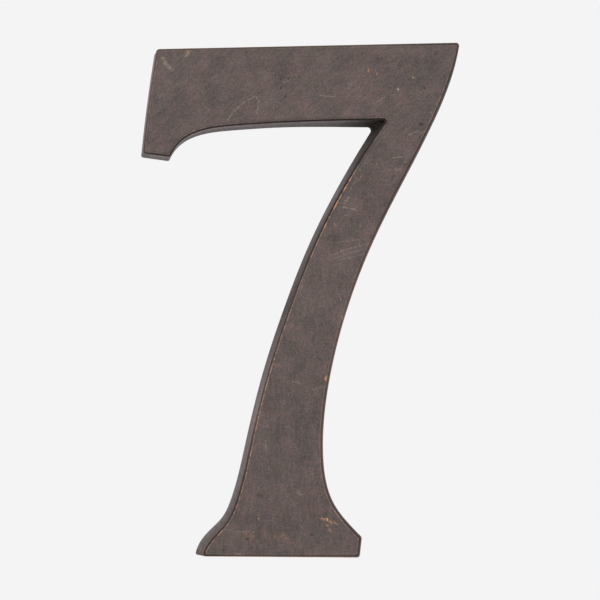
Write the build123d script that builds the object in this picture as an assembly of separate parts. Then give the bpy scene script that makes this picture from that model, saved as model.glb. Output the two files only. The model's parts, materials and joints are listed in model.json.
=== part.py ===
from build123d import *
from math import dist, exp, radians, tan
import os

# House number: the numeral 7, one solid bronze casting about six inches tall.
# It hangs on a wall by two studs that screw into blind holes in its flat back.
# X runs to the right as the numeral is read, Z runs up, and the face looks along -Y.
# The origin is on the back, halfway between the two stud holes.
# The outline is drawn at the back, in distances right of the stud line and above the baseline.

# Overall sizes: the baseline is under the foot's right end, and the height reaches the top right corner
height = 152.4
thickness = 12.7
bar_depth = 24.5

# Foot: its underside rises a little to the pointed left end, and its right end is a short upright face
foot_left = 25.75
foot_right = 22.1
foot_rise = 0.2
foot_end_height = 6.3
foot_end_lean = 0.7

# Left end of the foot: how far in and up from its point the edge is at the toe, the instep and the ankle
toe_in = 4.6
toe_up = 7.6
instep_in = 8.0
instep_up = 11.1
left_ankle_in = 10.65
left_ankle_up = 16.5

# Right end of the foot: how far in and up from the top of its upright face the flare and the ankle are
flare_in = 2.8
flare_up = 2.9
right_ankle_in = 8.15
right_ankle_up = 9.7

# Stem at five stations: share of the way up to the bar, left edge and right edge
stem_stations = (
    (0.25, -11.1, 11.3),
    (0.42, -5.75, 13.45),
    (0.58, 1.0, 18.8),
    (0.73, 8.65, 26.35),
    (0.87, 17.8, 35.4),
)
crotch_right = 27.8

# Right end of the bar: how far in the shoulder is partway down and level with the bar's underside
bar_right = 52.1
mid_shoulder_in = 2.7
mid_shoulder_share = 0.46
low_shoulder_in = 8.2

# Bar: its top edge falls to the left, and its underside is level, then sags, dips and turns down
bar_left = 37.9
top_fall = 3.25
level_share = 0.5
level_end_down = 0.3
sag_left = 14.6
sag_down = 1.35
dip_left = 22.3
dip_down = 2.35
turn_left = 26.8
turn_down = 3.75

# Tip that hangs at the left end of the bar
tip_left = 41.9
tip_width = 8.3
tip_drop = 10.7
tip_rise = 1.1
tip_bulge = 0.25

# Walls: they lean in by the draft, and by more near the crotch and the foot's point, out to about these reaches
draft_angle = 0.9
crotch_lean = 0.95
crotch_reach = 15.0
foot_tip_lean = 0.8
foot_tip_reach = 7.0

# Corners seen from the front, at the back and at the face, then the face's round edge and the back's filed one
back_corner_radius = 0.5
face_corner_radius = 1.0
back_crotch_radius = 1.2
face_crotch_radius = 0.35
face_edge_radius = 0.65
back_edge_bevel = 0.15

# Stud holes, drilled for a number 8 thread with 32 turns to the inch
lower_stud_height = 12.0
upper_stud_above_underside = 11.1
tap_drill_diameter = 3.45
drill_point_angle = 118.0
metal_before_face = 3.7

bar_underside = height - bar_depth
crotch = (crotch_right, bar_underside)
foot_tip = (-foot_left, foot_rise)
stud_spacing = bar_underside + upper_stud_above_underside - lower_stud_height
stud_centre_height = lower_stud_height + stud_spacing / 2


def stem_edge(side):
    """Points up one edge of the stem; side is 1 for the left edge and 2 for the right."""
    return [(station[side], station[0] * bar_underside) for station in stem_stations]


def left_flank():
    """From the foot's pointed end, in over the instep and up the stem to the crotch."""
    toe = (toe_in - foot_left, foot_rise + toe_up)
    instep = (instep_in - foot_left, foot_rise + instep_up)
    ankle = (left_ankle_in - foot_left, foot_rise + left_ankle_up)
    return [foot_tip, toe, instep, ankle, *stem_edge(1), crotch]


def right_flank(top_right, foot_corner):
    """From the top right corner, round the shoulder, down the stem and out to the foot."""
    mid_shoulder = (bar_right - mid_shoulder_in, height - mid_shoulder_share * bar_depth)
    low_shoulder = (bar_right - low_shoulder_in, bar_underside)
    ankle = (foot_corner[0] - right_ankle_in, foot_end_height + right_ankle_up)
    flare = (foot_corner[0] - flare_in, foot_end_height + flare_up)
    return [top_right, mid_shoulder, low_shoulder, *reversed(stem_edge(2)), ankle, flare, foot_corner]


def underside(tip_right):
    """Under the bar from the crotch: level to the stud line, then sagging and turning down to the tip."""
    level = (crotch_right * level_share, bar_underside)
    level_end = (0, bar_underside - level_end_down)
    sag = (-sag_left, bar_underside - sag_down)
    dip = (-dip_left, bar_underside - dip_down)
    turn = (-turn_left, bar_underside - turn_down)
    return [crotch, level, level_end, sag, dip, turn, tip_right]


def back_sides():
    """The sides of the back, clockwise from the top left corner, as the points that each passes through."""
    top_left = (-bar_left, height - top_fall)
    top_right = (bar_right, height)
    foot_corner = (foot_right + foot_end_lean, foot_end_height)
    foot_bottom_right = (foot_right, 0)
    tip_right = (tip_width - tip_left, bar_underside - tip_drop)
    tip_corner = (-tip_left, bar_underside - tip_drop + tip_rise)
    tip_side = (-(bar_left + tip_left) / 2 - tip_bulge, (top_left[1] + tip_corner[1]) / 2)
    return [
        [top_left, top_right],
        right_flank(top_right, foot_corner),
        [foot_corner, foot_bottom_right],
        [foot_bottom_right, foot_tip],
        left_flank(),
        underside(tip_right),
        [tip_right, tip_corner],
        [tip_corner, tip_side, top_left],
    ]


def drawn(points):
    """A straight line through two points, or a smooth curve through more."""
    return Line(*points) if len(points) == 2 else Spline(*points)


def edge_bevel(_point, _side):
    """How far in the flat of the back starts from its outline: the same everywhere."""
    return back_edge_bevel


def wall_lean(point, side):
    """How far in the face starts from this point on this side of the back's outline."""
    lean = thickness * tan(radians(draft_angle))
    for spot, extra, reach in ((crotch, crotch_lean, crotch_reach), (foot_tip, foot_tip_lean, foot_tip_reach)):
        if spot in side:
            lean += extra * exp(-((dist(point, spot) / reach) ** 2))
    return lean


def moved_in(distance_at):
    """The sides of the back, moved in by a distance that may differ from point to point, with mitred corners."""
    sides = back_sides()
    inward = []
    for side in sides:
        curve = drawn(side)
        slopes = [curve.tangent_at(curve.param_at_point(point)) for point in side]
        inward.append([slope.rotate(Axis.Z, -90) for slope in slopes])
    moved = []
    for side, ways in zip(sides, inward):
        moved.append([Vector(*point) + way * distance_at(point, side) for point, way in zip(side, ways)])
    for number, side in enumerate(sides):
        before, after = inward[number - 1][-1], inward[number][0]
        distance = distance_at(side[0], side)
        corner = Vector(*side[0]) + (before + after) * (distance / (1 + before.dot(after)))
        moved[number - 1][-1] = moved[number][0] = corner
    return moved


def outline(sides, corner_radius, crotch_radius):
    """The area inside the sides, with its corners rounded."""
    with BuildSketch() as drawing:
        with BuildLine():
            for side in sides:
                drawn(side)
        make_face()
        outer_corners = drawing.vertices().sort_by_distance(crotch)[1:]
        fillet(outer_corners, corner_radius)
        inner_corner = drawing.vertices().sort_by_distance(crotch)[0]
        fillet(inner_corner, crotch_radius)
    return drawing.sketch


def stud_hole():
    """One drilled hole with its pointed end, opening at the back, along Y."""
    radius = tap_drill_diameter / 2
    point_length = radius / tan(radians(drill_point_angle / 2))
    depth = thickness - metal_before_face
    with BuildPart() as drill:
        with BuildSketch(Plane.XY):
            Polygon((0, 0), (radius, 0), (radius, point_length - depth), (0, -depth), align=None)
        revolve(axis=Axis.Y)
    return drill.part


def numeral_seven():
    """The whole casting, drawn lying on its back, stood up and drilled."""
    flat_back = outline(moved_in(edge_bevel), back_corner_radius, back_crotch_radius)
    widest = Pos(Z=back_edge_bevel) * outline(back_sides(), back_corner_radius, back_crotch_radius)
    face = Pos(Z=thickness) * outline(moved_in(wall_lean), face_corner_radius, face_crotch_radius)
    casting = loft([flat_back.face(), widest.face(), face.face()], ruled=True)
    casting = fillet(casting.faces().sort_by(Axis.Z)[-1].edges(), face_edge_radius)
    casting = Rot(X=90) * Pos(Y=-stud_centre_height) * casting
    for level in (-stud_spacing / 2, stud_spacing / 2):
        casting -= Pos(Z=level) * stud_hole()
    return casting


os.makedirs("parts", exist_ok=True)
seven = numeral_seven()
seven.label = "numeral_seven"
export_step(seven, "parts/numeral_seven.step")
print("volume", round(seven.volume, 1), "size", seven.bounding_box().size)
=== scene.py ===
# %% [markdown]
# # A house number: the numeral seven in dark bronze
# The real thing is one casting, half an inch thick. It was ground by hand on its face and walls, coloured
# with a dark oily patina, and then rubbed, so that copper shows along the edges. All of its character is
# in the surface: the lines that run round the face, the scratches, the pits left by the sand, and the
# grinding marks on the walls.
#
# The solid is already right, and it comes in here as a fixed frame. What it lacks is a mesh fine enough
# to carry scratches and worn edges, so this lesson reads its outlines and builds a dense skin in the same
# place.

# %% Open the numeral
import json
import math
from collections import namedtuple
from functools import partial

import bmesh
import bpy
import numpy as np
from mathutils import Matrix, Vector, geometry, kdtree


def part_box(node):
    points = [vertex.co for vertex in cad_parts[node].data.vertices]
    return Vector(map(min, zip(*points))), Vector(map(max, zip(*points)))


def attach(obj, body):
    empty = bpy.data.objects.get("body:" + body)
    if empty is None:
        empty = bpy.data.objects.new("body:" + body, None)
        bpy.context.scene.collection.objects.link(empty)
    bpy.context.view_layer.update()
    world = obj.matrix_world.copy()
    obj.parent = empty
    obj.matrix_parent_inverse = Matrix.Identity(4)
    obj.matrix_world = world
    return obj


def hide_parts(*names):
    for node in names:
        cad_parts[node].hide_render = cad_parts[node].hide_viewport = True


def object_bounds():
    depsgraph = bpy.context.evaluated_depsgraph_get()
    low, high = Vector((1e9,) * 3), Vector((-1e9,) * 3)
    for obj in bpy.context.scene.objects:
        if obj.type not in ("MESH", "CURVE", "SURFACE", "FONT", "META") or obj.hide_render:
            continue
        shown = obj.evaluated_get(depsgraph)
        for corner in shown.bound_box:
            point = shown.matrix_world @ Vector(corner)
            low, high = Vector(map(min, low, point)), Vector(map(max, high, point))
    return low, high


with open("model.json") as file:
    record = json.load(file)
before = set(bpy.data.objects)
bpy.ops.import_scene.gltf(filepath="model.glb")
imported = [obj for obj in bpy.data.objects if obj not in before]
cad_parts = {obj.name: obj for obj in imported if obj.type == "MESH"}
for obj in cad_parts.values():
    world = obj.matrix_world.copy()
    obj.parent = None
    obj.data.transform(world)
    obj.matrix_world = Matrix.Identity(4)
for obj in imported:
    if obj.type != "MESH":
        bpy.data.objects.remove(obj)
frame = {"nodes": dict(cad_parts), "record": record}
cad_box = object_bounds()
casting = frame["nodes"]["numeral_seven"]
MM = 0.001
print("solid's corners", cad_box[0][:], cad_box[1][:])

# %% [markdown]
# ## The camera
# The photograph was taken from close by and a little to the left, which is why the left walls show and
# the right ones don't. The camera's place decides how wide each wall looks, so it is set first, and
# nothing later may move it. A numeral is flat, so a point of the photograph can also be carried back
# along the camera's ray to the face. That is how every scratch finds its real place.

# %% Camera
PHOTO_SIZE = 600
SENSOR = 36.0
LENS = 118.5
camera_place = Vector((-58.49, -587.70, -4.61))
camera_aim = Vector((4.21, -12.70, 0.39))

camera_data = bpy.data.cameras.new("photograph")
camera_data.lens = LENS
camera_data.sensor_width = SENSOR
camera = bpy.data.objects.new("photograph", camera_data)
camera.location = camera_place * MM
camera.rotation_euler = (camera_aim - camera_place).to_track_quat("-Z", "Y").to_euler()
bpy.context.scene.collection.objects.link(camera)
bpy.context.scene.camera = camera

face_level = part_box("numeral_seven")[0].y / MM
looking = (camera_aim - camera_place).normalized()
rightwards = looking.cross(Vector((0, 0, 1))).normalized()
upwards = rightwards.cross(looking)
pixels_per_slope = PHOTO_SIZE * LENS / SENSOR


def on_face(column, row):
    """The X and Z, in mm, of the point of the face that the photograph shows at this pixel."""
    ray = looking + rightwards * ((column - PHOTO_SIZE / 2) / pixels_per_slope)
    ray -= upwards * ((row - PHOTO_SIZE / 2) / pixels_per_slope)
    hit = camera_place + ray * ((face_level - camera_place.y) / ray.y)
    return np.array((hit.x, hit.z))


photo_middle = PHOTO_SIZE / 2
one_pixel = float((on_face(photo_middle + 1, photo_middle) - on_face(photo_middle, photo_middle))[0])
print("face at", round(face_level, 2), "mm; one pixel is", round(one_pixel, 3), "mm")

# %% [markdown]
# ## Where it hangs, and the light
# The photograph shows the numeral alone on an even pale grey. A lit wall could never be that even, so the
# grey is given to the camera's own rays. Reflections get the same grey, because polished bronze mirrors
# what is round it. The light itself is plain: an even sky, one large soft lamp on the left and a smaller
# one on the right. The floor lies well below and is as grey as the rest.

# %% Colours as they are read off a photograph
def read_colour(red, green, blue):
    """A colour read as 0 to 255 values, turned into the linear light that the shaders work in."""
    shares = [value / 255 for value in (red, green, blue)]
    return [s / 12.92 if s < 0.04045 else ((s + 0.055) / 1.055) ** 2.4 for s in shares] + [1.0]


background = read_colour(244, 244, 244)
print("background", [round(value, 3) for value in background])

# %% [markdown]
# ## Writing shaders as sums
# A worn edge is arithmetic: so much copper where the distance from the rim is small, less where the noise
# is high. Node by node that is unreadable. Here one class stands for a socket and knows Python's
# operators, and one method adds any other node. The same two serve Geometry Nodes, because both kinds of
# tree share the Math node.

# %% Sockets that add up
class Field:
    """A number, vector or colour that varies over a surface: one output socket of a node tree."""

    def __init__(self, tree, socket):
        self.tree = tree
        self.socket = socket

    def maths(self, operation, *values):
        return self.tree.node("ShaderNodeMath", {"operation": operation}, dict(enumerate(values)))

    def __add__(self, other):
        return self.maths("ADD", self, other)

    def __sub__(self, other):
        return self.maths("SUBTRACT", self, other)

    def __rsub__(self, other):
        return self.maths("SUBTRACT", other, self)

    def __mul__(self, other):
        return self.maths("MULTIPLY", self, other)

    def __truediv__(self, other):
        return self.maths("DIVIDE", self, other)

    def __rtruediv__(self, other):
        return self.maths("DIVIDE", other, self)

    def __neg__(self):
        return self * -1

    __radd__ = __add__

    def at_least(self, other):
        return self.maths("MAXIMUM", self, other)

    def at_most(self, other):
        return self.maths("MINIMUM", self, other)

    def scaled(self, factors):
        """The same vector with its X, Y and Z multiplied."""
        sockets = {0: self, 1: factors}
        return self.tree.node("ShaderNodeVectorMath", {"operation": "MULTIPLY"}, sockets)


class Tree:
    """Adds nodes to a shader or geometry tree."""

    def __init__(self, tree):
        self.tree = tree

    def node(self, kind, settings=None, sockets=None, output=0):
        """Adds one node, sets it up, fills or links its sockets, and gives back one of its outputs."""
        made = self.tree.nodes.new(kind)
        for name, value in (settings or {}).items():
            setattr(made, name, value)
        for name, value in (sockets or {}).items():
            if isinstance(value, Field):
                self.tree.links.new(value.socket, made.inputs[name])
            else:
                made.inputs[name].default_value = value
        return Field(self, made.outputs[output]) if made.outputs else None

    def blend(self, first, second, share):
        """The first colour where share is 0, the second where it is 1."""
        settings = {"data_type": "RGBA", "clamp_factor": True}
        return self.node("ShaderNodeMix", settings, {0: share, 6: first, 7: second}, output=2)

    def noise(self, place, size, detail=2.0, roughness=0.5):
        """Cloudy noise from 0 to 1, with clouds about as large as size."""
        sockets = {"Vector": place, "Scale": 1 / size, "Detail": detail, "Roughness": roughness}
        return self.node("ShaderNodeTexNoise", {}, sockets)

    def step(self, value, low, high):
        """Rises smoothly from 0 at low to 1 at high."""
        sockets = {"Value": value, 1: low, 2: high}
        return self.node("ShaderNodeMapRange", {"interpolation_type": "SMOOTHSTEP"}, sockets)

    def bump_at(self, value, centre, width):
        """A soft hill of height 1 where value is at centre, gone at one width away."""
        offset = ((value - centre) / width).at_most(1.0).at_least(-1.0)
        near = 1 - offset * offset
        return near * near


def new_material(name):
    """A material with an empty node tree, and the Tree that fills it."""
    material = bpy.data.materials.new(name)
    material.use_nodes = True
    material.node_tree.nodes.clear()
    return material, Tree(material.node_tree)


def shown_rays(tree):
    """1 for the rays that meet the photograph's grey: from the camera, mirrored or let through."""
    kinds = ("Is Camera Ray", "Is Glossy Ray", "Is Transmission Ray")
    seen, mirrored, through = [tree.node("ShaderNodeLightPath", output=kind) for kind in kinds]
    return (seen + mirrored + through).at_most(1.0)


# %% World
LIGHT_LEVEL = 0.72
world = bpy.data.worlds.new("even_sky")
world.use_nodes = True
world.node_tree.nodes.clear()
bpy.context.scene.world = world
sky = Tree(world.node_tree)
plain_light = sky.node("ShaderNodeBackground", {}, {"Color": (1, 1, 1, 1), "Strength": LIGHT_LEVEL})
pale_grey = sky.node("ShaderNodeBackground", {}, {"Color": background, "Strength": 1.0})
sky_shader = sky.node("ShaderNodeMixShader", {}, {0: shown_rays(sky), 1: plain_light, 2: pale_grey})
sky.node("ShaderNodeOutputWorld", {}, {"Surface": sky_shader})
bpy.context.scene.view_settings.view_transform = "Standard"
print("world nodes", len(world.node_tree.nodes))

# %% Lamps
Lamp = namedtuple("Lamp", "name place width power")
LAMPS = [
    Lamp("soft_lamp_left", Vector((-900, -1300, 900)), 900, 9.0),
    Lamp("soft_lamp_right", Vector((1100, -1000, 300)), 700, 3.0),
]
for lamp in LAMPS:
    lamp_data = bpy.data.lights.new(lamp.name, "AREA")
    lamp_data.shape = "SQUARE"
    lamp_data.size = lamp.width * MM
    lamp_data.energy = lamp.power
    lamp_object = bpy.data.objects.new(lamp.name, lamp_data)
    lamp_object.location = lamp.place * MM
    lamp_object.rotation_euler = (-lamp.place).to_track_quat("-Z", "Y").to_euler()
    bpy.context.scene.collection.objects.link(lamp_object)
print("lamps", [lamp.name for lamp in LAMPS])

# %% Floor
FLOOR_GAP = 45
FLOOR_WIDTH = 6000
floor_level = cad_box[0].z - FLOOR_GAP * MM
floor_mesh = bpy.data.meshes.new("floor")
reach = FLOOR_WIDTH / 2 * MM
corners = ((-reach, -reach), (reach, -reach), (reach, reach), (-reach, reach))
floor_mesh.from_pydata([(x, y, floor_level) for x, y in corners], [], [(0, 1, 2, 3)])
floor = bpy.data.objects.new("floor", floor_mesh)
bpy.context.scene.collection.objects.link(floor)
floor_finish, tree = new_material("pale_floor")
painted = tree.node("ShaderNodeBsdfDiffuse", {}, {"Color": (0.8, 0.8, 0.8, 1)})
even = tree.node("ShaderNodeEmission", {}, {"Color": background, "Strength": 1.0})
floor_shader = tree.node("ShaderNodeMixShader", {}, {0: shown_rays(tree), 1: painted, 2: even})
tree.node("ShaderNodeOutputMaterial", {}, {"Surface": floor_shader})
floor_mesh.materials.append(floor_finish)
print("floor at", round(floor_level / MM, 1), "mm")

# %% [markdown]
# ## Two outlines
# The solid's back and face are flat, so their rims are outlines. Each comes as a chain of short straight
# runs. Read as it is, those runs would show as facets on the walls, so a smooth line is drawn through
# them and cut into small steps.
#
# The two outlines differ: the walls lean in, more so round the crotch, and the corners are rounder at the
# face. To build a wall between them, each point of one needs its partner on the other. The corners settle
# that. Both lines get the same number of steps from one corner to the next, so partners stay opposite
# each other.

# %% Read the rims of the flat sides
FLAT = 1e-6


def area_of(loop):
    """Twice the signed area inside a loop: above 0 when it runs anticlockwise."""
    after = np.roll(loop, -1, 0)
    return float((loop[:, 0] * after[:, 1] - loop[:, 1] * after[:, 0]).sum())


def flat_rim(node, level):
    """The outer rim of the flat side at this Y: points in mm, in order round it, anticlockwise."""
    work = bmesh.new()
    work.from_mesh(node.data)
    bmesh.ops.remove_doubles(work, verts=work.verts, dist=FLAT)
    flat = {f for f in work.faces if all(abs(v.co.y - level * MM) < FLAT for v in f.verts)}
    border = [e for e in work.edges if sum(f in flat for f in e.link_faces) == 1]
    beside = {}
    for edge in border:
        for vertex in edge.verts:
            beside.setdefault(vertex, []).append(edge.other_vert(vertex))
    loops = []
    while beside:
        loop = [next(iter(beside))]
        while loop[-1] in beside:
            ahead = [v for v in beside.pop(loop[-1]) if v in beside]
            loop += ahead[:1]
        loops.append(np.array([(v.co.x / MM, v.co.z / MM) for v in loop]))
    work.free()
    outer = max(loops, key=lambda loop: abs(area_of(loop)))
    return outer if area_of(outer) > 0 else outer[::-1]


rough_back = flat_rim(casting, 0)
rough_face = flat_rim(casting, face_level)
print("rim points", len(rough_back), "at the back and", len(rough_face), "at the face")

# %% Smooth lines through them
FINE_STEP = 0.04
STRAIGHT_RATIO = 4


def slopes_of(loop):
    """A smooth line's direction at each point, as on a circle through it and its neighbours."""
    ahead = np.roll(loop, -1, 0) - loop
    run = np.linalg.norm(ahead, axis=1)[:, None]
    way = ahead / run
    run_before = np.roll(run, 1, 0)
    way_before = np.roll(way, 1, 0)
    slope = (way_before * run + way * run_before) / (run + run_before)
    slope = np.where(run > STRAIGHT_RATIO * run_before, way, slope)
    slope = np.where(run_before > STRAIGHT_RATIO * run, way_before, slope)
    return slope / np.linalg.norm(slope, axis=1)[:, None]


def outward_from(loop):
    """The direction out of the loop at each of its points."""
    slopes = slopes_of(loop)
    return np.stack([slopes[:, 1], -slopes[:, 0]], 1)


def fine_line(loop):
    """Points a few hundredths of a millimetre apart, along a smooth line through the loop's points."""
    slopes = slopes_of(loop)
    pieces = []
    for number, start in enumerate(loop):
        after = (number + 1) % len(loop)
        run = np.linalg.norm(loop[after] - start)
        t = np.linspace(0, 1, math.ceil(run / FINE_STEP), endpoint=False)[:, None]
        curve = (2 * t**3 - 3 * t**2 + 1) * start + (3 * t**2 - 2 * t**3) * loop[after]
        curve += run * ((t**3 - 2 * t**2 + t) * slopes[number] + (t**3 - t**2) * slopes[after])
        pieces.append(curve)
    return np.vstack(pieces)


def steps_of(line):
    """The length and the heading of each step along a closed line."""
    moves = np.roll(line, -1, 0) - line
    return np.linalg.norm(moves, axis=1), np.unwrap(np.arctan2(moves[:, 1], moves[:, 0]))


back_line = fine_line(rough_back)
face_line = fine_line(rough_face)
print("lines of", len(back_line), "and", len(face_line), "fine steps")

# %% Find the corners
CORNER_WINDOW = 30
CORNER_SWING = math.radians(35)
FULL_TURN = 2 * math.pi


def corners_of(line):
    """The numbers of the points amid the corners, where the heading swings within a short way."""
    heading = steps_of(line)[1]
    count = len(line)
    wrapped = np.concatenate([heading - FULL_TURN, heading, heading + FULL_TURN])
    here = np.arange(count, 2 * count)
    swing = np.abs(wrapped[here + CORNER_WINDOW] - wrapped[here - CORNER_WINDOW])
    corners = []
    while swing.max() > CORNER_SWING:
        nearby = count + int(swing.argmax()) + np.arange(-CORNER_WINDOW, CORNER_WINDOW + 1)
        halfway = (wrapped[nearby[0]] + wrapped[nearby[-1]]) / 2
        middle = int(nearby[np.abs(wrapped[nearby] - halfway).argmin()]) % count
        corners.append(middle)
        swing[np.arange(middle - 2 * CORNER_WINDOW, middle + 2 * CORNER_WINDOW) % count] = 0
    return sorted(corners)


print("corners", len(corners_of(back_line)), "at the back and", len(corners_of(face_line)), "at the face")

# %% Cut both lines into matching steps
STEP = 0.32
CORNER_STEPS = 1.3


def cut_up(line, counts=None):
    """Points in small steps along a line, closer at corners, and the steps between corners."""
    corners = corners_of(line)
    first = max(corners, key=lambda number: line[number].sum())
    corners = sorted((number - first) % len(line) for number in corners)
    line = np.roll(line, -first, 0)
    lengths, heading = steps_of(line)
    effort = np.concatenate([[0], np.cumsum(lengths + CORNER_STEPS * np.abs(np.gradient(heading)))])
    ends = [*effort[corners], effort[-1]]
    if counts is None:
        counts = [round(run / STEP) for run in np.diff(ends)]
    runs = zip(ends, ends[1:], counts)
    stops = np.concatenate([np.linspace(start, end, count, endpoint=False) for start, end, count in runs])
    closed = np.vstack([line, line[:1]])
    points = [np.interp(stops, effort, closed[:, axis]) for axis in (0, 1)]
    return np.stack(points, 1), counts


back_rim, step_counts = cut_up(back_line)
face_rim, _ = cut_up(face_line, step_counts)
back_outward = outward_from(back_rim)
outward = outward_from(face_rim)
rim_steps = np.linalg.norm(np.roll(face_rim, -1, 0) - face_rim, axis=1)
longest, whole = round(rim_steps.max(), 3), round(rim_steps.sum(), 1)
print("steps", len(face_rim), "longest", longest, "mm, round the face", whole, "mm")

# %% [markdown]
# ## The walls
# From the back forwards the section is always the same: a tiny bevel, a straight wall, and a round onto
# the face. Each stage gives rings of points. The wall's rings are blends of the two outlines, so the lean
# needs no rule of its own. Every point also remembers how far it lies from the face's rim, measured over
# the surface. The patina is later painted by that distance.

# %% Rings from back to face
BACK_BEVEL = 0.15
FACE_ROUND = 0.65
WALL_RINGS = 15
FACE_ROUND_RINGS = 7
thickness = -face_level


def at_depth(points, forward):
    """Points seen from the front, set this far in front of the back."""
    return np.column_stack([points[:, 0], np.full(len(points), -forward), points[:, 1]])


def section_rings():
    """Rings of points with how far forward each lies, from the back's rim to the face's rim."""
    rings = [(back_rim, 0)]
    wall_start = back_rim + back_outward * BACK_BEVEL
    wall_end = face_rim + outward * FACE_ROUND
    wall_height = thickness - FACE_ROUND - BACK_BEVEL
    for share in np.linspace(0, 1, WALL_RINGS):
        rings.append((wall_start + (wall_end - wall_start) * share, BACK_BEVEL + wall_height * share))
    for angle in np.linspace(0, math.pi / 2, FACE_ROUND_RINGS + 1)[1:]:
        ring = face_rim + outward * (FACE_ROUND * math.cos(angle))
        rings.append((ring, thickness - FACE_ROUND * (1 - math.sin(angle))))
    return [at_depth(ring, forward) for ring, forward in rings]


rings = section_rings()
ring_pairs = zip(rings, rings[1:])
ring_gaps = [float(np.linalg.norm(after - before, axis=1).mean()) for before, after in ring_pairs]
section = sum(ring_gaps)
from_face_rim = np.cumsum([0, *ring_gaps]) - section
print("rings", len(rings), "over a section of", round(section, 2), "mm")

# %% [markdown]
# ## Scratches, pits and worn spots
# These are what makes it this numeral and not another. Each is placed by the pixels at which the
# photograph shows it, and carried to the face. A mark has a kind, a path, a width and a strength. Copper
# is patina rubbed through to metal, a scuff is a pale scratch that only dulls it, and a pit is a dark
# hole left by the sand. Widths are in millimetres. A strength under 1 is a fainter mark, and one over 1
# spreads its full strength over more of the width.

# %% Marks read off the photograph
Mark = namedtuple("Mark", "kind width strength path")


def new_mark(kind, width, strength, *path):
    """A mark: its width in mm, its strength, and the photograph's pixels that its path runs through."""
    return Mark(kind, width, strength, path)


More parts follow.
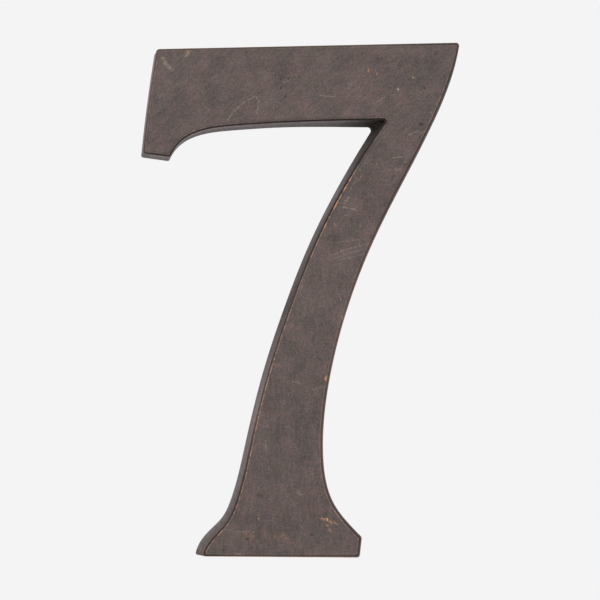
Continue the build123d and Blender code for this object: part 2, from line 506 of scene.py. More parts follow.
copper, scuff, pit = [partial(new_mark, kind) for kind in ("copper", "scuff", "pit")]
MARKS = [
    copper(0.18, 0.8, (368.6, 69.2), (368.2, 70.8)),
    copper(0.17, 0.4, (376.4, 72.8), (377.2, 74.4)),
    scuff(0.22, 0.9, (412.9, 77.4), (413.2, 78)),
    copper(0.18, 0.4, (412.9, 77.4), (413.2, 78)),
    copper(0.24, 1.4, (325.3, 378.8), (325.6, 379.8)),
    copper(0.2, 0.5, (326.6, 376), (325.6, 378.6)),
    copper(0.2, 0.28, (340.6, 298.8), (340.9, 299.6)),
    copper(0.2, 0.4, (342.6, 316.8), (342.2, 318.8)),
    copper(0.17, 0.5, (258.2, 518), (258.8, 519.2)),
    copper(0.26, 1.3, (326.8, 518.8), (327.4, 520.2)),
    copper(0.3, 0.35, (321.6, 518.6), (324.4, 519.4)),
    copper(0.3, 0.45, (330, 521.8), (331.6, 523)),
    copper(0.3, 0.35, (334.4, 522.6), (337, 524.2)),
    copper(0.24, 0.3, (327, 524.8), (328.2, 526.2)),
    copper(0.24, 0.5, (329.2, 529), (330.8, 531.6)),
    copper(0.4, 0.2, (187, 51.6), (190.4, 50.4)),
    copper(0.18, 0.4, (193.4, 130), (194.4, 131)),
    copper(0.8, 0.07, (276, 537.6), (283.5, 535), (288, 538.4)),
    copper(0.6, 0.07, (265, 534.2), (269, 538.6)),
    copper(0.7, 0.06, (246, 533), (252, 537)),
    copper(0.16, 0.4, (236.4, 553.8), (240.4, 554)),
    copper(0.15, 0.25, (389.6, 170.4), (390.2, 170.8)),
    copper(0.15, 0.25, (377, 163), (377.4, 163.8)),
    copper(0.16, 0.2, (365.6, 128.6), (366, 129.4)),
    scuff(0.5, 0.55, (162.6, 58), (165.4, 61.6)),
    scuff(0.42, 0.6, (164.8, 62.6), (166.8, 64.8)),
    scuff(0.5, 0.5, (167.8, 65.6), (171.8, 69.8)),
    scuff(0.36, 0.65, (185.8, 56.2), (188.6, 53)),
    scuff(0.45, 0.16, (160, 97), (170, 88), (178, 84)),
    scuff(0.45, 0.14, (156, 112), (164, 104)),
    scuff(0.2, 0.5, (282.6, 82.4), (286.6, 81.2), (290.4, 80.6)),
    scuff(0.18, 0.35, (431, 112), (432.4, 115.4), (431.4, 119)),
    scuff(0.18, 0.3, (436.6, 103.4), (437.8, 107)),
    scuff(0.2, 0.3, (404.4, 161.8), (407, 162.2)),
    scuff(0.22, 0.3, (395, 169), (398, 170.2), (400.4, 168.6)),
    scuff(0.22, 0.22, (381, 178.4), (384.6, 180.6), (388, 179.4)),
    scuff(0.4, 0.14, (350, 160), (354.4, 166), (353, 172)),
    scuff(0.24, 2.5, (398, 88.8), (398.2, 89.4)),
    scuff(0.14, 0.55, (226.5, 121.3), (233, 112.4), (243, 103), (256, 95.4)),
    scuff(0.2, 0.45, (256, 95.4), (258.6, 101), (258, 107), (257, 114)),
    scuff(0.24, 0.3, (348, 84), (349.2, 83.4), (351, 83.6)),
    scuff(0.14, 0.5, (320, 95.2), (327, 96.4), (335, 96.6)),
    scuff(0.13, 0.5, (373.3, 103.7), (378, 101.4), (384.5, 97)),
    scuff(0.14, 0.5, (409, 135.2), (414, 132.4), (419, 130.6)),
    scuff(0.14, 0.4, (418, 133.4), (422, 132.6), (426, 130.4)),
    scuff(0.15, 0.65, (391.6, 157.9), (396, 157.5), (401, 156.9)),
    scuff(0.14, 0.35, (401, 156.9), (405, 156.4), (408, 157.4)),
    scuff(0.24, 0.5, (359.4, 169), (360, 170.6)),
    scuff(0.15, 0.3, (360.4, 171.4), (361.8, 176), (357.6, 181), (352.4, 184), (351.6, 188.6)),
    scuff(0.15, 0.4, (355, 176), (358.2, 178.6), (355, 180)),
    scuff(0.3, 0.22, (350.4, 188), (352, 191)),
    copper(0.3, 0.08, (406, 158.4), (406.6, 160.6)),
    copper(0.17, 0.3, (393, 94.8), (394.4, 94.8)),
    copper(0.3, 0.08, (164, 61), (170.6, 68)),
    scuff(0.3, 0.2, (304.6, 276), (306.8, 268)),
    scuff(0.3, 0.2, (301.8, 288), (303.6, 280)),
    scuff(0.3, 0.25, (286, 427.4), (288.6, 426.2), (291.6, 427.6), (292.6, 431)),
    scuff(0.28, 0.6, (348.6, 197.4), (346.6, 200.6), (344.6, 203)),
    scuff(0.18, 0.7, (342.8, 207.4), (345, 207), (347.2, 208.2)),
    scuff(0.18, 0.7, (350, 208), (353.4, 209), (357, 210.6)),
    scuff(0.15, 0.4, (341.4, 218), (344, 215.6), (352.6, 214.2)),
    scuff(0.22, 0.35, (334.4, 223.4), (336.4, 225.4)),
    scuff(0.26, 0.45, (359.8, 225.6), (360.4, 226.6)),
    scuff(0.24, 0.4, (371, 194.6), (371.6, 195.6)),
    scuff(0.16, 0.3, (337, 243), (350, 240.4), (366, 239.2)),
    scuff(0.16, 0.36, (331, 255.4), (345, 249.6), (358, 246.4), (368.4, 243.4)),
    scuff(0.15, 0.35, (334, 258.8), (348, 253.4), (366.4, 248.8)),
    scuff(0.15, 0.35, (341, 259.6), (352, 257), (364.4, 253.8)),
    scuff(0.22, 0.45, (340, 251.6), (340.8, 252.2)),
    scuff(0.16, 0.4, (274.6, 364.6), (277, 365.2), (279.6, 365)),
    scuff(0.15, 0.5, (288.1, 381.3), (294, 381.4), (300.5, 383.5)),
    scuff(0.15, 0.4, (313, 389.4), (318, 387.6), (326, 386.4)),
    scuff(0.24, 0.35, (288.4, 393.6), (288.8, 395.6)),
    scuff(0.17, 0.45, (265.6, 440.4), (266.1, 450)),
    scuff(0.17, 0.25, (269.4, 466), (268, 474)),
    scuff(0.45, 0.4, (298.6, 492.4), (301, 494.6)),
    scuff(0.35, 0.3, (292.4, 500), (294.4, 505.4)),
    scuff(0.22, 0.3, (311.6, 473.6), (313, 474.6)),
    scuff(0.16, 0.35, (224.4, 529.5), (238, 531.6), (254, 532.3)),
    scuff(0.15, 0.35, (259.4, 425), (263, 425.6), (268, 426.6)),
    pit(0.26, 0.9, (285.6, 96), (285.4, 96.6)),
    pit(0.22, 0.8, (288.2, 78.6), (288.4, 79.6)),
    pit(0.22, 0.7, (281, 88), (280.8, 89)),
    pit(0.2, 0.5, (179, 88.6), (179.2, 89.2)),
    pit(0.28, 0.7, (424.2, 87.8), (424.6, 88.4)),
    pit(0.34, 0.45, (435, 53.4), (436, 54)),
    pit(0.26, 0.7, (377.8, 59), (378.2, 59.6)),
    pit(0.28, 0.4, (444, 75), (444.2, 77)),
    pit(0.24, 0.45, (429.6, 105.6), (429.8, 106.4)),
    pit(0.34, 0.75, (419.6, 124.4), (421, 124.8), (422.6, 124)),
    pit(0.24, 0.5, (369, 216.6), (369.6, 217.2)),
    pit(0.6, 0.4, (258.4, 495.2), (262.4, 496.6)),
    pit(0.26, 1, (247.3, 539.2), (247.7, 539.2)),
    pit(0.24, 0.8, (223.4, 550.2), (223.8, 550.6)),
    pit(0.28, 0.8, (311.2, 535), (312.4, 535.2)),
    pit(0.26, 0.4, (317.6, 357.6), (320.4, 360)),
]
print("marks", {kind: sum(mark.kind == kind for mark in MARKS) for kind in ("copper", "scuff", "pit")})

# %% Carry the marks to the face
SPACING_ALONG = 0.16
SPACING_ACROSS = 0.11
MARK_REACH = 2.2


def along_path(points, spacing):
    """Points in even steps along a path through the given points, its two ends included."""
    runs = np.linalg.norm(np.diff(points, axis=0), axis=1)
    travelled = np.concatenate([[0], np.cumsum(runs)])
    stops = np.linspace(0, travelled[-1], max(2, round(travelled[-1] / spacing) + 1))
    return np.stack([np.interp(stops, travelled, points[:, axis]) for axis in (0, 1)], 1)


def points_round(mark, path):
    """A close net of points over a mark, so that the mesh can hold it."""
    reach = mark.width * MARK_REACH
    line = along_path(path, SPACING_ALONG)
    way = (line[-1] - line[0]) / max(np.linalg.norm(line[-1] - line[0]), FLAT)
    sideways = np.array((-way[1], way[0]))
    rows = np.arange(-reach, reach + SPACING_ACROSS / 2, SPACING_ACROSS)
    net = [line + sideways * row for row in rows]
    for end, beyond in ((line[:1], -way), (line[-1:], way)):
        net += [end + beyond * row + sideways * side for row in rows[rows > 0] for side in rows[::2]]
    return np.vstack(net)


paths = [np.array([on_face(*pixel) for pixel in mark.path]) for mark in MARKS]
mark_points = np.vstack([points_round(mark, path) for mark, path in zip(MARKS, paths)])
print("points set aside for marks", len(mark_points))

# %% [markdown]
# ## The face and the back
# A flat area bounded by a wavy line is a job for Delaunay's triangles: give it the rim as edges that must
# be kept, scatter points inside, and it joins them into the fattest triangles that it can. The face takes
# points every half millimetre and many more round each mark. The back takes far fewer, but it has two
# stud holes to go round.

# %% Distances to the rim
CLOSE_TO_RIM = 0.05
SLANT_LIMIT = 1.5


def finder_of(points):
    """A tree that finds the nearest of the points."""
    tree = kdtree.KDTree(len(points))
    for number, point in enumerate(points):
        tree.insert((point[0], point[1], 0), number)
    tree.balance()
    return tree


face_rim_tree = finder_of(face_rim)


def nearest_on_rim(points):
    """The number of the face rim's nearest point for each point."""
    return np.array([face_rim_tree.find((x, z, 0))[1] for x, z in points])


def inside_distance(points, nearest):
    """How far inside the face's rim each point lies; below 0 when it is outside.

    Close to the rim, the nearest of its points may lie off to one side. So the distance is held to little
    more than the distance across.
    """
    apart = points - face_rim[nearest]
    inward = -(apart * outward[nearest]).sum(1)
    limit = np.maximum(np.abs(inward), CLOSE_TO_RIM) * SLANT_LIMIT
    return np.where(inward > 0, 1, -1) * np.minimum(np.linalg.norm(apart, axis=1), limit)


print("rim points to search", len(face_rim))

# %% Points for the face
FACE_SPACING = 0.5
FACE_JITTER = 0.07
INNER_RINGS = (0.10, 0.26)
RING_ROOM = 0.97
FACE_MARGIN = 0.45
GRID_ROOM = FACE_SPACING / 2
MARK_MARGIN = INNER_RINGS[-1] + 0.08
MARK_ROOM = SPACING_ACROSS * 0.8
rng = np.random.default_rng(7)


def six_sided_grid(low, high, spacing):
    """Points in offset rows, each with six neighbours at the same distance."""
    rows = np.arange(low[1], high[1], spacing * math.sqrt(3) / 2)
    columns = np.arange(low[0], high[0], spacing)
    shifts = [number % 2 * spacing / 2 for number in range(len(rows))]
    return np.array([(x + shift, z) for shift, z in zip(shifts, rows) for x in columns])


def thinned(points, room):
    """One point out of each square of this width, where points are crowded."""
    kept = {}
    for point in points:
        kept.setdefault(tuple(np.floor(point / room).astype(int)), point)
    return np.array(list(kept.values()))


def clear_of(points, others, room):
    """The points that keep their distance from all the others."""
    tree = finder_of(others)
    return points[[tree.find((x, z, 0))[2] > room for x, z in points]]


def inside_face(points, margin):
    """The points at least margin inside the face's rim."""
    return points[inside_distance(points, nearest_on_rim(points)) > margin]


inner_rings = [inside_face(face_rim - outward * inset, inset * RING_ROOM) for inset in INNER_RINGS]
near_rim = np.vstack(inner_rings)
mark_points = inside_face(thinned(mark_points, MARK_ROOM), MARK_MARGIN)
grid = six_sided_grid(face_rim.min(0), face_rim.max(0), FACE_SPACING)
grid = inside_face(grid + rng.uniform(-FACE_JITTER, FACE_JITTER, grid.shape), FACE_MARGIN)
grid = clear_of(grid, mark_points, GRID_ROOM)
face_points = np.vstack([near_rim, mark_points, grid])
print("face points", len(near_rim), "by the rim,", len(mark_points), "for marks,", len(grid), "between")

# %% Stud holes in the back
HOLE_SIDES = 48
MOUTH_RADIUS = 2.35
THREAD_ROOT_RADIUS = 2.10
STUD_BORE_RADIUS = 1.725
MOUTH_DEPTH = 0.25
THREAD_DEPTH = 7.0
BORE_DEPTH = 7.96
POINT_DEPTH = 9.0
THREAD_RUN_OUT = 0.3
threaded_holes = [mount for mount in frame["record"]["mounts"] if mount["kind"] == "threaded_hole"]
hole_places = [np.array(hole["pos_m"])[[0, 2]] / MM for hole in threaded_holes]
hole_steps = [
    (MOUTH_RADIUS, 0),
    (THREAD_ROOT_RADIUS, MOUTH_DEPTH),
    (THREAD_ROOT_RADIUS, THREAD_DEPTH),
    (STUD_BORE_RADIUS, THREAD_DEPTH + THREAD_RUN_OUT),
    (STUD_BORE_RADIUS, BORE_DEPTH),
    (STUD_BORE_RADIUS / 2, (BORE_DEPTH + POINT_DEPTH) / 2),
]
angles = np.arange(HOLE_SIDES) * 2 * math.pi / HOLE_SIDES
unit_circle = np.stack([np.cos(angles), np.sin(angles)], 1)
print("holes at", [place.round(2).tolist() for place in hole_places])

# %% Points for the back
BACK_SPACING = 2.2
back_grid = six_sided_grid(back_rim.min(0), back_rim.max(0), BACK_SPACING)
back_grid = inside_face(back_grid, BACK_SPACING / 2)
mouths = [place + unit_circle * MOUTH_RADIUS for place in hole_places]
for place in hole_places:
    back_grid = back_grid[np.linalg.norm(back_grid - place, axis=1) > MOUTH_RADIUS + BACK_SPACING / 2]
print("back points", len(back_grid))


# %% Join points into triangles
def between_loops(points, loops):
    """Whether each point is inside the first loop only, by counting the edges to its right."""
    crossed = np.zeros(len(points), int)
    x, z = points[:, :1], points[:, 1:]
    for loop in loops:
        after = np.roll(loop, -1, 0)
        passed = (loop[:, 1] > z) != (after[:, 1] > z)
        rise = np.where(after[:, 1] == loop[:, 1], 1, after[:, 1] - loop[:, 1])
        meeting = loop[:, 0] + (z - loop[:, 1]) / rise * (after[:, 0] - loop[:, 0])
        crossed += (passed & (x < meeting)).sum(1)
    return crossed % 2 == 1


def triangles_between(loops, loose):
    """Triangles between the loops, as numbers of points: the loops' first, then the loose ones."""
    loops = [loop.astype(np.float32).astype(float) for loop in loops]
    points = np.vstack([*loops, loose])
    edges = []
    first = 0
    for loop in loops:
        edges += [(first + n, first + (n + 1) % len(loop)) for n in range(len(loop))]
        first += len(loop)
    made = geometry.delaunay_2d_cdt([Vector(point) for point in points], edges, [], 1, FLAT, True)
    if len(made[0]) != len(points):
        raise ValueError("two outlines cross, so new points were made")
    number = np.array([origins[0] for origins in made[3]])
    triangles = number[np.array(made[2])]
    in_doubt = (triangles < first).all(1)
    kept = ~in_doubt
    kept[in_doubt] = between_loops(points[triangles[in_doubt]].mean(1), loops)
    return points, triangles[kept]


face_layout, face_triangles = triangles_between([face_rim], face_points)
back_layout, back_triangles = triangles_between([back_rim, *mouths], back_grid)
print("triangles on the face", len(face_triangles), "and on the back", len(back_triangles))

# %% [markdown]
# ## What each point remembers
# A mesh can keep numbers at its points, and a material can read them. The first ones say how strong each
# kind of mark is over the face. The same numbers press the face in: about a hundredth of a millimetre for
# a scratch and a tenth for a pit.
#
# The others are for the rim. Hands and cloths rub an edge more in some places than in others, and the
# light falls on each stretch differently, so the rim is read at stations that follow it clockwise. Each
# says how bare the copper line is, how far in the lines are shifted, how dark the painted shade on the
# round and its line is, how brown the edge is outside it, and how light the wall is at its back and at
# its front, which is its own tone with painted light and shade. Between stations the numbers blend.

# %% Strength of the marks over the face
PRESSED = {"copper": 0.015, "scuff": 0.02, "pit": 0.16}


def distance_to_path(points, path):
    """The distance from each point to a path of straight runs."""
    best = np.full(len(points), np.inf)
    for start, end in zip(path[:-1], path[1:]):
        run = end - start
        share = np.clip((points - start) @ run / max(run @ run, FLAT), 0, 1)
        best = np.minimum(best, np.linalg.norm(points - start - share[:, None] * run, axis=1))
    return best


def marks_over(points):
    """For each kind of mark, how strong it is at each point."""
    strength = {kind: np.zeros(len(points)) for kind in PRESSED}
    for mark, path in zip(MARKS, paths):
        faded = mark.strength * np.exp(-((distance_to_path(points, path) / mark.width) ** 2))
        strength[mark.kind] = np.maximum(strength[mark.kind], faded)
    return strength


strength = marks_over(face_layout)
pressed_in = sum(PRESSED[kind] * strength[kind] for kind in PRESSED)
print("deepest pit", round(float(pressed_in.max()), 3), "mm")

# %% Wear and shade round the rim
# Of these, dark sets the painted shade on the rim's round and the dark line outside it, and wall_back and
# wall_front set how light the walls are: their own tone with painted light and shade
RIM_VALUES = ("wear", "shift", "dark", "outer", "wall_back", "wall_front")
Station = namedtuple("Station", ("name", "column", "row", *RIM_VALUES))
STATIONS = [
    ("top left corner", 158, 51, 0.3, 0, 0.6, 0.6, 1.25, 1.1),
    ("top edge", 230, 48, 0.2, 0, 0.5, 0.6, 0.9, 0.9),
    ("top right", 380, 44, 0.22, 0, 0.5, 0.45, 0.9, 0.9),
    ("top right corner", 456, 45, 0.12, 0.2, 0.7, 0.05, 0.8, 0.7),
    ("shoulder", 446, 90, 0.55, 0.5, 0.65, 0, 0.8, 0.7),
    ("upper stem, right", 395, 196, 0.15, 0.55, 0.65, 1.2, 0.8, 0.6),
    ("middle stem, right", 350, 300, 0.3, 0.3, 0.32, 1.4, 0.8, 0.7),
    ("lower stem, right", 328, 390, 0.35, 0.35, 0.35, 1.3, 0.8, 0.8),
    ("waist, right", 322, 450, 0.55, 0.35, 0.5, 0.7, 0.8, 0.8),
    ("foot flare, right", 337, 508, 0.75, 0.3, 0.6, 0.4, 0.8, 0.7),
    ("foot corner, right", 361, 541, 0.6, 0.4, 0.8, 0.3, 0.8, 0.7),
    ("foot bottom, right", 352, 557, 0.3, 0.45, 0.45, 1.15, 0.8, 0.8),
    ("foot bottom", 300, 557, 0.2, 0.25, 0.45, 1.3, 0.8, 0.8),
    ("foot bottom, left", 235, 556, 0.2, 0.1, 0.45, 1.35, 0.8, 0.8),
    ("foot point", 202, 554, 0.65, 0.2, 1, 0.8, 0.7, 0.5),
    ("toe", 207, 541, 0.75, 0.3, 0.9, 0, 0.82, 0.6),
    ("instep", 222, 515, 0.85, 0.2, 0.85, 0, 0.8, 0.55),
    ("ankle", 243, 470, 0.8, 0.15, 0.75, 0, 0.84, 0.82),
    ("lower stem, left", 258, 405, 0.8, 0, 0.4, 0, 0.93, 1),
    ("lower middle stem, left", 272, 360, 0.8, 0, 0.6, 0, 0.76, 0.74),
    ("middle stem, left", 291, 300, 0.65, 0, 0.75, 0, 0.41, 0.35),
    ("upper middle stem, left", 307, 255, 0.7, 0, 0.9, 0, 0.6, 0.42),
    ("upper stem, left", 335, 200, 1, 0, 1.1, 0, 0.86, 0.52),
    ("below the crotch", 347, 178, 0.95, 0, 1.1, 0, 0.85, 0.5),
    ("under the crotch", 358, 158, 0.45, 0, 1.1, 0, 0.62, 0.16),
    ("crotch", 384, 121, 0.45, 0, 1.25, 0, 0.16, 0.03),
    ("underside by the crotch", 345, 121, 0.25, 0, 1.2, 0, 0.75, 1.1),
    ("underside, right", 312, 121, 0.2, 0, 1.1, 0, 0.85, 1.2),
    ("underside", 285, 121, 0.15, 0, 1, 0, 0.85, 1.1),
    ("underside, left", 210, 128, 0.35, 0, 1, 0, 0.86, 1.55),
    ("tip, right", 170, 153, 0.25, 0, 1, 0, 0.95, 1.5),
    ("tip bottom", 156, 154, 0.3, 0, 1, 0, 0.92, 1.65),
    ("tip corner", 145, 150, 0.2, -0.2, 0.8, 0, 0.95, 1.1),
    ("left end", 150, 100, 0.3, -0.28, 0.42, 0, 1.2, 1),
]
stations = [Station(*values) for values in STATIONS]
rim_travel = np.concatenate([[0], np.cumsum(rim_steps)])
station_numbers = nearest_on_rim([on_face(station.column, station.row) for station in stations])
station_travel = rim_travel[station_numbers]


def round_the_rim(name):
    """One of the stations' values at every point of the rim, blended between stations."""
    order = np.argsort(station_travel)
    values = np.array([getattr(station, name) for station in stations])
    return np.interp(rim_travel[:-1], station_travel[order], values[order], period=rim_travel[-1])


rim_values = {name: round_the_rim(name) for name in RIM_VALUES}
print("rim values reach", {name: round(values.max(), 2) for name, values in rim_values.items()})

# %% [markdown]
# ## One closed skin
# Now the pieces are sewn together. Rings share their points with the face and the back, so nothing has to
# be merged afterwards and no seam is left open. The stud holes are rings as well, each narrower or deeper
# than the last.

# %% Sew the skin together
def ring_band(first, second, count, closed_side):
    """Quads between two rings of points, given each ring's first number."""
    here = np.arange(count)
    after = (here + 1) % count
    quads = np.stack([first + here, first + after, second + after, second + here], 1)
    return quads if closed_side else quads[:, ::-1]


def build_skin():
    """The casting's whole surface as points in mm, faces, and the values kept at each point."""
    count = len(face_rim)
    points = list(rings)
    across = [np.full(count, value) for value in from_face_rim]
    rim_number = [np.arange(count)] * len(rings)
    faces = [ring_band(n * count, (n + 1) * count, count, True) for n in range(len(rings) - 1)]
    start = len(rings) * count
    last_ring = start - count

    inner = face_layout[count:]
    nearest = nearest_on_rim(inner)
    points.append(at_depth(inner, thickness))
    across.append(inside_distance(inner, nearest))
    rim_number.append(nearest)
    inside = face_triangles - count + start
    faces.append(np.where(face_triangles < count, face_triangles + last_ring, inside))
    start += len(inner)

    inner = back_layout[count:]
    points.append(at_depth(inner, 0))
    across.append(np.full(len(inner), from_face_rim[0] - BACK_SPACING))
    rim_number.append(nearest_on_rim(inner))
    faces.append(np.where(back_triangles < count, back_triangles, back_triangles - count + start))
    mouth = start
    start += len(inner)

    for place in hole_places:
        ring_before = mouth
        for radius, depth in hole_steps[1:]:
            points.append(at_depth(place + unit_circle * radius, depth))
            faces.append(ring_band(ring_before, start, HOLE_SIDES, False))
            ring_before = start
            start += HOLE_SIDES
        points.append(at_depth(place[None], POINT_DEPTH))
        here = ring_before + np.arange(HOLE_SIDES)
        faces.append(np.column_stack([here, np.roll(here, -1), np.full(HOLE_SIDES, start)])[:, ::-1])
        added = (len(hole_steps) - 1) * HOLE_SIDES + 1
        across.append(np.full(added, from_face_rim[0] - BACK_SPACING))
        rim_number.append(np.zeros(added, int))
        start += 1
        mouth += HOLE_SIDES
    return np.vstack(points), faces, np.concatenate(across), np.concatenate(rim_number)


skin_points, skin_faces, across, rim_number = build_skin()
print("skin points", len(skin_points), "faces", sum(len(group) for group in skin_faces))

# %% The skin as a Blender mesh
face_start = (len(rings) - 1) * len(face_rim)
face_numbers = face_start + np.arange(len(face_layout))
skin_points[face_numbers, 1] += pressed_in
skin = bpy.data.meshes.new("numeral_skin")
skin.from_pydata(skin_points * MM, [], [face.tolist() for group in skin_faces for face in group])
kept = {name: values[rim_number] for name, values in rim_values.items()}
kept["across"] = across
for kind, values in strength.items():
    everywhere = np.zeros(len(skin_points))
    everywhere[face_numbers] = values
    kept[kind] = everywhere
for name, values in kept.items():
    skin.attributes.new(name, "FLOAT", "POINT").data.foreach_set("value", values.astype(np.float32))
work = bmesh.new()
work.from_mesh(skin)
bmesh.ops.recalc_face_normals(work, faces=work.faces)
open_edges = sum(not edge.is_manifold for edge in work.edges)
volume = work.calc_volume(signed=True) / MM**3
work.to_mesh(skin)
work.free()
skin.polygons.foreach_set("use_smooth", [True] * len(skin.polygons))
triangle_count = sum(len(polygon.vertices) - 2 for polygon in skin.polygons)
print("open edges", open_edges, "volume", round(volume), "mm3, triangles", triangle_count)

# %% [markdown]
# ## The grinder's marks
# A belt leaves two things behind: shallow hollows a few millimetres wide, where the part was pressed
# harder, and fine scores that run across the walls from front to back. The rim also has small dings. All
# three follow one rule over the whole surface, so Geometry Nodes make them: noise, times a depth, pushed
# in along the normal. Pushing in and never out keeps the skin inside the solid. The back is left flat,
# since it has to sit against a wall.

# %% Geometry trees with named inputs
def new_group(name, values):
    """A geometry tree with an input for each value and a finish, its Tree, and its inputs as fields."""
    group = bpy.data.node_groups.new(name, "GeometryNodeTree")
    sockets = [("Geometry", "INPUT", "Geometry"), ("Geometry", "OUTPUT", "Geometry")]
    for label, value in values.items():
        sockets.append((label, "INPUT", "Vector" if isinstance(value, tuple) else "Float"))
    for label, side, kind in [*sockets, ("Finish", "INPUT", "Material")]:
        group.interface.new_socket(label, in_out=side, socket_type="NodeSocket" + kind)
    tree = Tree(group)
    source = group.nodes.new("NodeGroupInput")
    return group, tree, {output.name: Field(tree, output) for output in source.outputs if output.name}


def finish_group(tree, made, finish):
    """Ends a geometry tree: real geometry instead of instances, with its material."""
    real = tree.node("GeometryNodeRealizeInstances", {}, {"Geometry": made})
    dressed = tree.node("GeometryNodeSetMaterial", {}, {"Geometry": real, "Material": finish})
    tree.node("NodeGroupOutput", {}, {"Geometry": dressed})


def run_group(piece, group, values):
    """Runs a geometry tree on a piece and leaves its result as the piece's plain mesh."""
    modifier = piece.modifiers.new(group.name, "NODES")
    modifier.node_group = group
    for item in group.interface.items_tree:
        if item.in_out == "INPUT" and item.name in values:
            modifier[item.identifier] = values[item.name]
    made = bpy.data.meshes.new_from_object(piece.evaluated_get(bpy.context.evaluated_depsgraph_get()))
    piece.modifiers.remove(modifier)
    made.name = piece.name
    piece.data = made
    print(piece.name, "has", len(made.vertices), "points after", group.name)


print("each geometry tree takes its values and a finish")

# %% Hollows, scores and dings
GRINDING = {
    "Hollow Depth": 0.05,
    "Hollow Size": 9.0,
    "Score Depth": 0.02,
    "Score Spacing": 0.9,
    "Ding Depth": 0.1,
    "Ding Size": 1.8,
}
# Where each comes in, in mm inside the face's rim, or below 0 outside it; the last is in mm from the back
WALL_STARTS_AT = (-0.1, -0.9)
FACE_STARTS_AT = (-0.6, 0.3)
DINGS_AT = (-0.2, 0.5)
BACK_FADE = (0.2, 1.5)
grinding, tree, given = new_group("hand_grinding", GRINDING)


def kept_value(tree, name):
    """A value that the skin keeps at each of its points, as a field of a geometry tree."""
    return tree.node("GeometryNodeInputNamedAttribute", {"data_type": "FLOAT"}, {"Name": name})


place = tree.node("GeometryNodeInputPosition").scaled((1 / MM,) * 3)
normal = tree.node("GeometryNodeInputNormal")
from_rim = kept_value(tree, "across")
off_back = tree.step(from_rim, *[height - section for height in BACK_FADE])
on_wall = tree.step(from_rim, *WALL_STARTS_AT) * off_back
on_front = tree.step(from_rim, *FACE_STARTS_AT)
hollows = tree.noise(place, given["Hollow Size"], 1.0) * given["Hollow Depth"] * (on_wall + on_front * 0.4)
scores = tree.noise(place.scaled((1, 0, 1)), given["Score Spacing"], 3.0) * given["Score Depth"] * on_wall
rim_only = tree.bump_at(from_rim, *DINGS_AT)
dings = tree.step(tree.noise(place, given["Ding Size"], 1.0), 0.6, 0.78) * given["Ding Depth"] * rim_only
pushed = (hollows + scores + dings) * -MM
offset = tree.node("ShaderNodeVectorMath", {"operation": "SCALE"}, {0: normal, "Scale": pushed})
ground = tree.node("GeometryNodeSetPosition", {}, {"Geometry": given["Geometry"], "Offset": offset})
finish_group(tree, ground, given["Finish"])
print("nodes in hand_grinding", len(grinding.nodes))

# %% [markdown]
# ## The patina
# Oiled bronze is not one colour. Close up it drifts between a reddish and a greenish brown, with spots of
# ochre, and the cloth that rubbed it left faint strokes: slanting on the bar and upright on the stem.
# Along the face's rim runs a hair of bare copper, and outside it a dark line of painted shade on the
# round. The walls are greyer and show the scores of the belt, and their lightness is painted light and
# shade on top of their own tone. The crotch, which no cloth can reach, is nearly black: dark patina,
# deepened with painted shade.
# Each of these is a mask, and the colour is built up by blending one after another.

# %% Colours of the patina
REDDISH = read_colour(105, 88, 86)
OCHRE = read_colour(100, 88, 79)
GREENISH = read_colour(90, 83, 80)
COPPER = read_colour(226, 168, 124)
WORN = read_colour(158, 132, 118)
WORN_COPPER = read_colour(208, 148, 106)
SCUFFED = read_colour(190, 174, 158)
RUBBED_PINK = read_colour(164, 136, 122)
# Near black: for the painted shade on the rim's round and its dark line, and for the pits
SHADE_AND_PIT_DARK = read_colour(30, 24, 22)
RIM_BROWN = read_colour(150, 110, 88)
WALL_GREY = read_colour(110, 97, 97)
OLIVE_SHEEN = read_colour(94, 82, 62)
BACK_BROWN = read_colour(92, 81, 78)


def shade(tree, colour, amount):
    """A colour made darker or lighter."""
    plain = colour if isinstance(colour, Field) else colour[:3]
    return tree.node("ShaderNodeVectorMath", {"operation": "SCALE"}, {0: plain, "Scale": amount})


def swing(noise, amount):
    """Noise as a change either way, by up to half the amount."""
    return (noise - 0.5) * amount


def painted_value(tree, name):
    """A value that the skin keeps at each of its points, as a field of a shader tree."""
    return tree.node("ShaderNodeAttribute", {"attribute_name": name}, output="Fac")


print("copper", [round(value, 3) for value in COPPER])

# %% Face
STROKE_TURN = math.radians(-50)
BAR_STARTS = (15, 55)
patina, tree = new_material("oiled_bronze")
place = tree.node("ShaderNodeTexCoord", output="Object").scaled((1 / MM,) * 3)
from_rim = painted_value(tree, "across")
clouds = tree.noise(place, 26, 3)
patches = tree.noise(place, 5, 4, 0.6)
turned = tree.node("ShaderNodeMapping", {}, {"Vector": place, "Rotation": (0, STROKE_TURN, 0)})
bar_strokes = tree.noise(turned.scaled((1, 1, 0.2)), 0.9, 3, 0.6)
stem_strokes = tree.noise(place.scaled((1, 1, 0.16)), 0.8, 3, 0.6)
level = tree.node("ShaderNodeSeparateXYZ", {}, {"Vector": place}, output="Z")
in_bar = tree.step(level, *BAR_STARTS)
strokes = stem_strokes + (bar_strokes - stem_strokes) * in_bar
grain = tree.noise(place, 0.55, 3, 0.7)
flecks = tree.noise(place, 0.42, 1)
tints = tree.noise(place, 7, 4, 0.65)
dust = tree.noise(place, 1.4, 3, 0.7)
ochre = tree.step(tree.noise(place, 3.2, 4, 0.75), 0.4, 0.75)
hue = tree.step(patches * 0.25 + tints * 0.6 + dust * 0.8 + grain * 0.35, 0.84, 1.16)
face_value = 0.955 + swing(clouds, 0.25) + swing(patches, 0.65) + swing(strokes, 0.6)
face_value += swing(grain, 1.05) + swing(flecks, 0.65)
tinted = tree.blend(tree.blend(GREENISH, REDDISH, hue), OCHRE, ochre * 0.6)
face_colour = shade(tree, tinted, face_value)
speckle = tree.step(tree.noise(place, 0.7, 2), 0.62, 0.78) * tree.step(patches, 0.45, 0.7) * 0.35
face_colour = tree.blend(face_colour, RUBBED_PINK, speckle)
print("nodes so far", len(patina.node_tree.nodes))

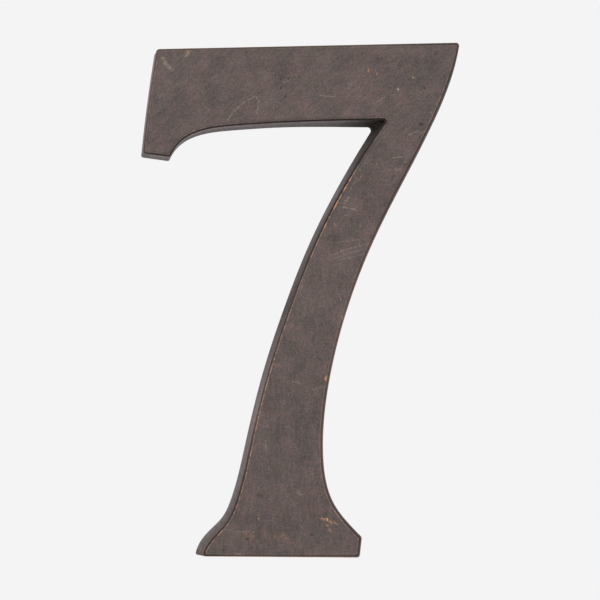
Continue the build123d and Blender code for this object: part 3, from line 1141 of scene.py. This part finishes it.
# %% Walls and back
WALL_BEGINS = (-0.55, -1.0)
BACK_BEGINS = (0.15, -0.1)
scores = tree.noise(place.scaled((1, 0.03, 1)), 0.34, 3, 0.6)
forward = tree.step(from_rim * (-1 / section), 0.6, 0.05)
wall_back, wall_front = painted_value(tree, "wall_back"), painted_value(tree, "wall_front")
# The walls' lightness from back to front: their own tone with painted light and shade, lighter under the
# bar and nearly black in the crotch
wall_tone_and_painted_light = wall_back * (1 - forward) + wall_front * forward
belts = tree.noise(place.scaled((1, 0.5, 1)), 1.2, 4, 0.7)
bands = tree.noise(place.scaled((0.14, 1, 0.14)), 1.9, 3, 0.6)
wall_value = (1.02 + swing(scores, 0.9) + swing(belts, 2.1) + swing(bands, 1.2)) * wall_tone_and_painted_light
wall_colour = shade(tree, WALL_GREY, wall_value)
sheen = tree.step(bands, 0.48, 0.68) * (0.8 - wall_tone_and_painted_light).at_least(0.0) * 0.9
wall_colour = tree.blend(wall_colour, OLIVE_SHEEN, sheen)
back_lines = tree.noise(place.scaled((1, 1, 0.05)), 0.5, 3)
back_colour = shade(tree, BACK_BROWN, 0.45 + patches * 0.55 + back_lines * 0.35 + grain * 0.45)
on_wall = tree.step(from_rim, *WALL_BEGINS)
on_back = tree.step(from_rim, *[height - section for height in BACK_BEGINS])
colour = tree.blend(face_colour, wall_colour, on_wall)
colour = tree.blend(colour, back_colour, on_back)
print("nodes so far", len(patina.node_tree.nodes))

# %% Rim lines and marks
# Each line's middle and half width, in mm inside the face's rim, or below 0 outside it
RIM_SHADE = (0.0, 0.8)
DARK_LINE = (-0.38, 0.5)
WORN_LINE = (0.05, 0.27)
OUTER_BROWN = (-0.8, 0.6)
wear = painted_value(tree, "wear")
dark = painted_value(tree, "dark")
from_line = from_rim - painted_value(tree, "shift")
broken = tree.step(tree.noise(place, 1.8, 3, 0.75), 0.4, 0.6)
# Painted shade on the rim: a soft darkening over the round and a dark line just outside it, as strong as
# dark says
rim_shade = tree.bump_at(from_line, *RIM_SHADE) * dark * dark * 0.3
painted_shade_line = tree.bump_at(from_line, *DARK_LINE) * dark
worn_line = tree.bump_at(from_line, *WORN_LINE) * wear * (0.3 + broken * 0.75)
bare_line = worn_line * broken * tree.step(wear, 0.6, 1.05)
outer_brown = tree.bump_at(from_rim, *OUTER_BROWN) * painted_value(tree, "outer")
rubbed = painted_value(tree, "copper") * (0.3 + tree.step(flecks, 0.38, 0.6))
scuffed = painted_value(tree, "scuff") * (0.15 + tree.step(flecks, 0.38, 0.62) * 0.85)
layers = [
    (SHADE_AND_PIT_DARK, rim_shade),
    (SHADE_AND_PIT_DARK, painted_shade_line),
    (RIM_BROWN, outer_brown),
    (WORN, worn_line),
    (WORN_COPPER, bare_line),
    (SCUFFED, scuffed * 0.65),
    (COPPER, rubbed),
    (SHADE_AND_PIT_DARK, painted_value(tree, "pit")),
]
for tint, share in layers:
    colour = tree.blend(colour, tint, share)
print("nodes with marks", len(patina.node_tree.nodes))

# %% Shine and relief
bare = (rubbed + bare_line * 0.6).at_most(1.0)
unlit = (1 - wall_tone_and_painted_light).at_least(0.0) * on_wall
roughness = 0.52 + swing(grain, 0.25) + swing(patches, 0.2) + on_wall * 0.15 + unlit * 0.33 - bare * 0.15
roughness = roughness.at_least(0.2).at_most(1.0)
metallic = 0.35 + bare * 0.55 - on_wall * 0.2
relief = grain * 0.02 + strokes * 0.012 + scores * on_wall * 0.04
bumped = tree.node("ShaderNodeBump", {}, {"Strength": 1.0, "Distance": MM, "Height": relief})
sockets = {"Base Color": colour, "Roughness": roughness, "Metallic": metallic, "Normal": bumped}
shader = tree.node("ShaderNodeBsdfPrincipled", {}, {**sockets, "Specular IOR Level": 0.3})
tree.node("ShaderNodeOutputMaterial", {}, {"Surface": shader})
print("nodes in oiled_bronze", len(patina.node_tree.nodes))

# %% Grind the skin
numeral = bpy.data.objects.new("bronze_seven", skin)
bpy.context.scene.collection.objects.link(numeral)
run_group(numeral, grinding, {**GRINDING, "Finish": patina})

# %% [markdown]
# ## Threads in the stud holes
# The numeral hangs on two threaded studs, so its holes are tapped. A tapped hole is a wall with a ridge
# that winds down it. That is a triangle carried along a helix, the plainest case of something that
# follows a path. One helix is made, turned to lie along the hole, and placed at both holes. Its ridge has
# the usual angle of 60 degrees, and that is a circle of only three sides.

# %% Cut metal
CUT_DARK = read_colour(120, 88, 62)
CUT_BRIGHT = read_colour(196, 150, 104)
cut_metal, tree = new_material("cut_thread")
place = tree.node("ShaderNodeTexCoord", output="Object").scaled((1 / MM,) * 3)
oil = tree.noise(place, 0.8, 3)
colour = tree.blend(CUT_DARK, CUT_BRIGHT, tree.step(oil, 0.35, 0.65))
sockets = {"Base Color": colour, "Roughness": 0.35 + oil * 0.2, "Metallic": 0.9}
shader = tree.node("ShaderNodeBsdfPrincipled", {}, sockets)
tree.node("ShaderNodeOutputMaterial", {}, {"Surface": shader})
print("nodes in cut_thread", len(cut_metal.node_tree.nodes))

# %% Wind the threads
PITCH = 0.794
THREAD_START = 0.3
RIDGE_SIZE = 0.27
TURN_SIDES = 36
lowest, highest = sorted(hole_places, key=lambda place: place[1])
THREAD = {
    "Crest Radius": STUD_BORE_RADIUS * MM,
    "Pitch": PITCH * MM,
    "Start Depth": THREAD_START * MM,
    "End Depth": THREAD_DEPTH * MM,
    "Ridge Size": RIDGE_SIZE * MM,
    "Lowest Hole": (lowest[0] * MM, 0, lowest[1] * MM),
    "Hole Spacing": ((highest[0] - lowest[0]) * MM, 0, (highest[1] - lowest[1]) * MM),
}
winding, tree, given = new_group("tapped_thread", THREAD)
length = given["End Depth"] - given["Start Depth"]
radius = given["Crest Radius"] + given["Ridge Size"]
sockets = {"Resolution": TURN_SIDES, "Rotations": length / given["Pitch"], "Height": length}
helix = tree.node("GeometryNodeCurveSpiral", {}, {**sockets, "Start Radius": radius, "End Radius": radius})
upright = tree.node("GeometryNodeSetCurveNormal", {"mode": "Z_UP"}, {"Curve": helix})
sockets = {"Resolution": 3, "Radius": given["Ridge Size"]}
triangle = tree.node("GeometryNodeCurvePrimitiveCircle", {"mode": "RADIUS"}, sockets)
sockets = {"Curve": upright, "Profile Curve": triangle, "Fill Caps": True}
ridge = tree.node("GeometryNodeCurveToMesh", {}, sockets)
start = tree.node("ShaderNodeCombineXYZ", {}, {"Y": -given["Start Depth"]})
sockets = {"Geometry": ridge, "Rotation": (math.pi / 2, 0, 0), "Translation": start}
laid = tree.node("GeometryNodeTransform", {}, sockets)
first_hole, spacing = given["Lowest Hole"], given["Hole Spacing"]
sockets = {"Count": len(hole_places), "Start Location": first_hole, "Offset": spacing}
holes = tree.node("GeometryNodeMeshLine", {"mode": "OFFSET"}, sockets)
placed = tree.node("GeometryNodeInstanceOnPoints", {}, {"Points": holes, "Instance": laid})
finish_group(tree, placed, given["Finish"])

threads = bpy.data.objects.new("stud_threads", bpy.data.meshes.new("stud_threads"))
bpy.context.scene.collection.objects.link(threads)
run_group(threads, winding, {**THREAD, "Finish": cut_metal})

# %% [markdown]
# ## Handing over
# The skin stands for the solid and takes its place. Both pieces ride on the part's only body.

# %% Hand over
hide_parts("numeral_seven")
for piece in (numeral, threads):
    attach(piece, "root")
